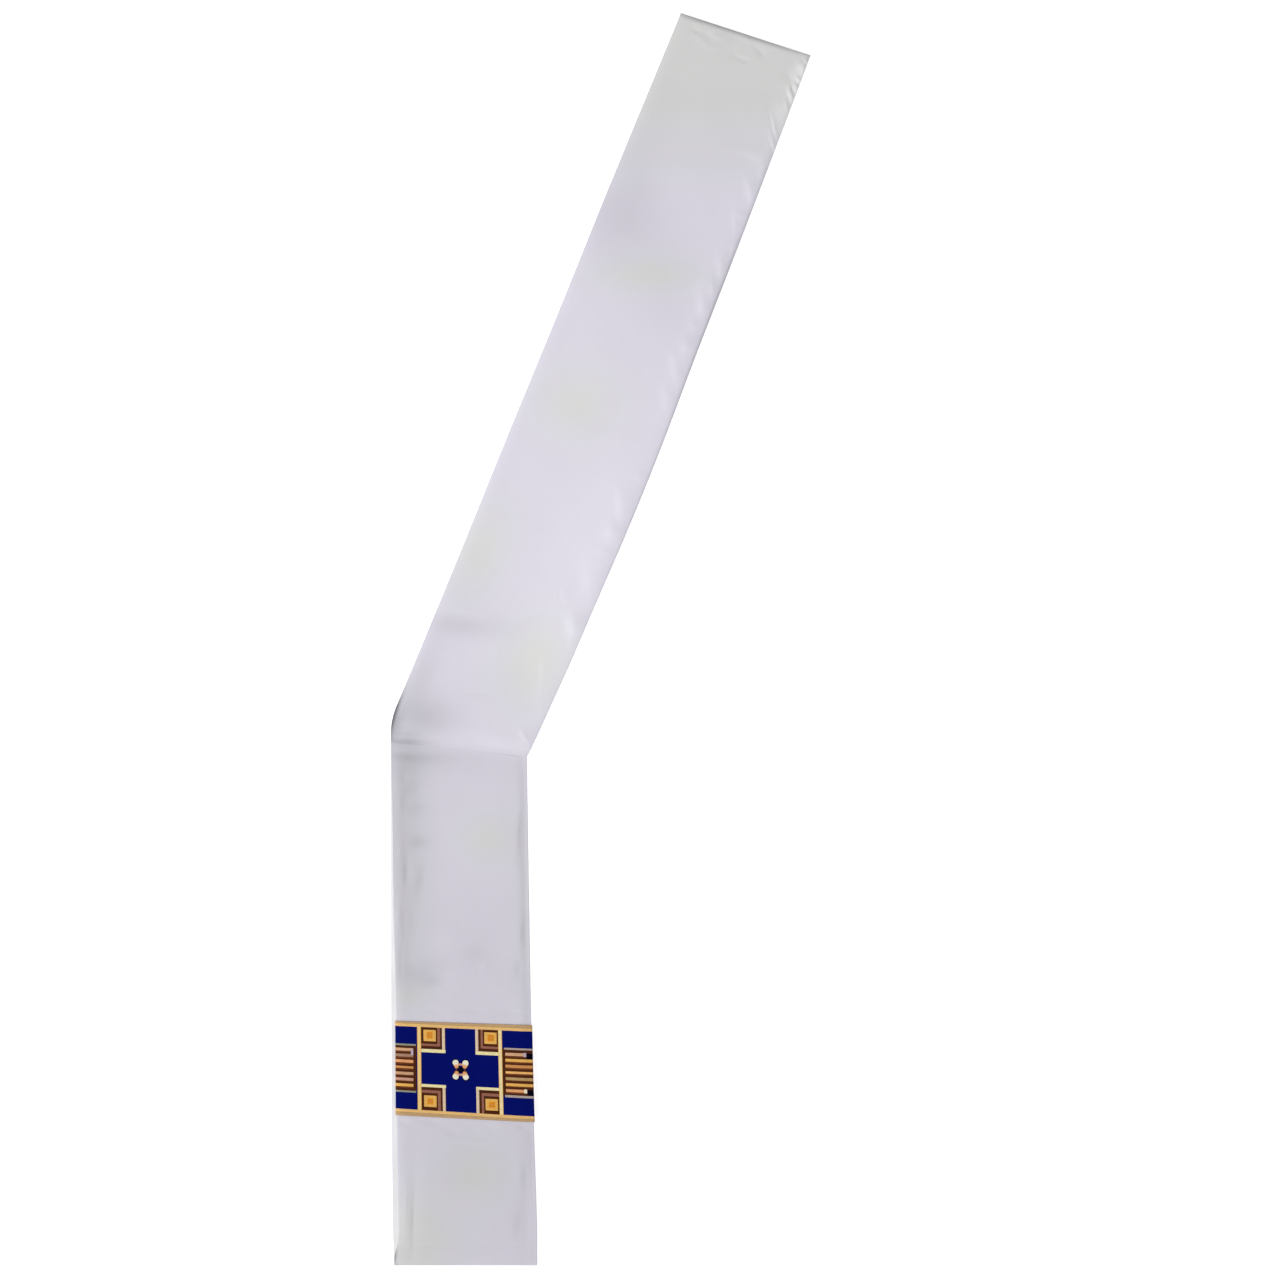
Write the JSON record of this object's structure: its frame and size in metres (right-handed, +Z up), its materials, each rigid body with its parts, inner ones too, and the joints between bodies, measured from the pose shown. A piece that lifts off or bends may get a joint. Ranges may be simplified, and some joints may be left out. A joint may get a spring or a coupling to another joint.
{
  "type": "clerical stole",
  "caption": "White deacon's stole laid flat and folded at the shoulder, bent at the hip seam, with a navy and gold cross galloon band above its hem.",
  "frame": {"origin": "middle of the footprint, on the surface that the stole lies on", "axes": "+X across the stole towards its inner edge, +Y from the hem to the shoulder fold, +Z up from the surface"},
  "size_m": [0.3884, 1.1582, 0.0072],
  "materials": {
    "white_cloth": "close plain weave in white, matte with a faint sheen, cool in the shade",
    "lining_side": "the same white cloth, its smooth lining face up under the front half",
    "galloon": "woven brocade, navy ground with gold, pale gold and brown thread"
  },
  "bodies": {
    "root": {"front_upper_panel": "white_cloth", "front_lower_panel": "white_cloth", "galloon_band": "galloon", "back_upper_panel": "lining_side", "back_lower_panel": "lining_side"}
  },
  "joints": []
}
